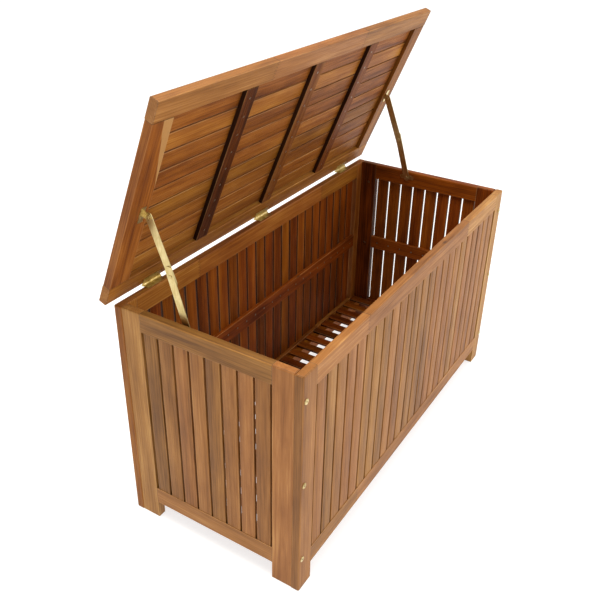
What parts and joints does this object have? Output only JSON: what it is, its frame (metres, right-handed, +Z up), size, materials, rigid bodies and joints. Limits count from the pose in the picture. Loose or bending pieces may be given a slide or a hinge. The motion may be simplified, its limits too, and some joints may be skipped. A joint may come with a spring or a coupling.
{
  "type": "slatted deck storage box",
  "caption": "Slatted acacia deck storage chest with a hinged lid held open by folding brass stays, standing on short corner feet.",
  "frame": {"origin": "on the ground, midway along the length and midway front to back over the whole box with its lid open", "axes": "+X along the length to the right when facing the front, +Y to the rear where the hinges are, +Z up"},
  "size_m": [1.24, 0.5387, 1.1439],
  "materials": {
    "oiled_acacia_frame": "oiled, satin",
    "oiled_acacia_slats": "oiled, satin",
    "solid_brass": "satin, lightly tarnished",
    "brass_screw": "satin",
    "zinc_plated_steel": "zinc plated"
  },
  "bodies": {
    "box": {"barrel_nuts": "zinc_plated_steel", "corner_bolts": "solid_brass", "floor_screws": "zinc_plated_steel", "floor_slats": "oiled_acacia_slats", "front_bottom_rail": "oiled_acacia_frame", "front_ledger": "oiled_acacia_frame", "front_left_stile": "oiled_acacia_frame", "front_mid_rail": "oiled_acacia_frame", "front_right_stile": "oiled_acacia_frame", "front_slats": "oiled_acacia_slats", "front_top_rail": "oiled_acacia_frame", "hinge_box_leaves": "solid_brass", "hinge_box_screws": "brass_screw", "hinge_pins": "solid_brass", "ledger_screws": "zinc_plated_steel", "left_bottom_rail": "oiled_acacia_frame", "left_front_stile": "oiled_acacia_frame", "left_mid_rail": "oiled_acacia_frame", "left_rear_stile": "oiled_acacia_frame", "left_slats": "oiled_acacia_slats", "left_top_rail": "oiled_acacia_frame", "rear_bottom_rail": "oiled_acacia_frame", "rear_ledger": "oiled_acacia_frame", "rear_left_stile": "oiled_acacia_frame", "rear_mid_rail": "oiled_acacia_frame", "rear_right_stile": "oiled_acacia_frame", "rear_slats": "oiled_acacia_slats", "rear_top_rail": "oiled_acacia_frame", "right_bottom_rail": "oiled_acacia_frame", "right_front_stile": "oiled_acacia_frame", "right_mid_rail": "oiled_acacia_frame", "right_rear_stile": "oiled_acacia_frame", "right_slats": "oiled_acacia_slats", "right_top_rail": "oiled_acacia_frame", "slat_screws": "zinc_plated_steel", "stay_box_brackets": "solid_brass", "stay_box_rivets": "solid_brass", "stay_box_screws": "brass_screw"},
    "lid": {"hinge_lid_leaves": "solid_brass", "hinge_lid_screws": "brass_screw", "lid_front_rail": "oiled_acacia_frame", "lid_left_batten": "oiled_acacia_frame", "lid_left_stile": "oiled_acacia_frame", "lid_middle_batten": "oiled_acacia_frame", "lid_rear_rail": "oiled_acacia_frame", "lid_right_batten": "oiled_acacia_frame", "lid_right_stile": "oiled_acacia_frame", "lid_slat_screws": "zinc_plated_steel", "lid_slats": "oiled_acacia_slats", "stay_lid_brackets": "solid_brass", "stay_lid_rivets": "solid_brass", "stay_lid_screws": "brass_screw"},
    "left_upper_arm": {"left_upper_arm": "solid_brass", "left_elbow_rivet_inner": "solid_brass"},
    "left_lower_arm": {"left_lower_arm": "solid_brass", "left_elbow_rivet_outer": "solid_brass"},
    "right_upper_arm": {"right_upper_arm": "solid_brass", "right_elbow_rivet_inner": "solid_brass"},
    "right_lower_arm": {"right_lower_arm": "solid_brass", "right_elbow_rivet_outer": "solid_brass"}
  },
  "joints": [
    {"name": "lid_hinge", "type": "hinge", "parent": "box", "child": "lid", "pos_m": [0, 0.24947, 0.634], "axis": [1, 0, 0], "range_deg": [0, 67.5]},
    {"name": "left_lower_arm_pivot", "type": "hinge", "parent": "box", "child": "left_lower_arm", "pos_m": [-0.5706, 0.05247, 0.6135], "axis": [1, 0, 0], "range_deg": [0, 182.11]},
    {"name": "left_upper_arm_pivot", "type": "hinge", "parent": "lid", "child": "left_upper_arm", "pos_m": [-0.5683, 0.14265, 0.86576], "axis": [1, 0, 0], "range_deg": [-35.88, 0]},
    {"name": "right_lower_arm_pivot", "type": "hinge", "parent": "box", "child": "right_lower_arm", "pos_m": [0.5706, 0.05247, 0.6135], "axis": [1, 0, 0], "range_deg": [0, 182.11]},
    {"name": "right_upper_arm_pivot", "type": "hinge", "parent": "lid", "child": "right_upper_arm", "pos_m": [0.5683, 0.14265, 0.86576], "axis": [1, 0, 0], "range_deg": [-35.88, 0]}
  ],
  "couplings": [
    {"joint": "left_lower_arm_pivot", "follows": "lid_hinge", "ratio": 2.6972},
    {"joint": "left_upper_arm_pivot", "follows": "lid_hinge", "ratio": -0.53085},
    {"joint": "right_lower_arm_pivot", "follows": "lid_hinge", "ratio": 2.6972},
    {"joint": "right_upper_arm_pivot", "follows": "lid_hinge", "ratio": -0.53085}
  ]
}
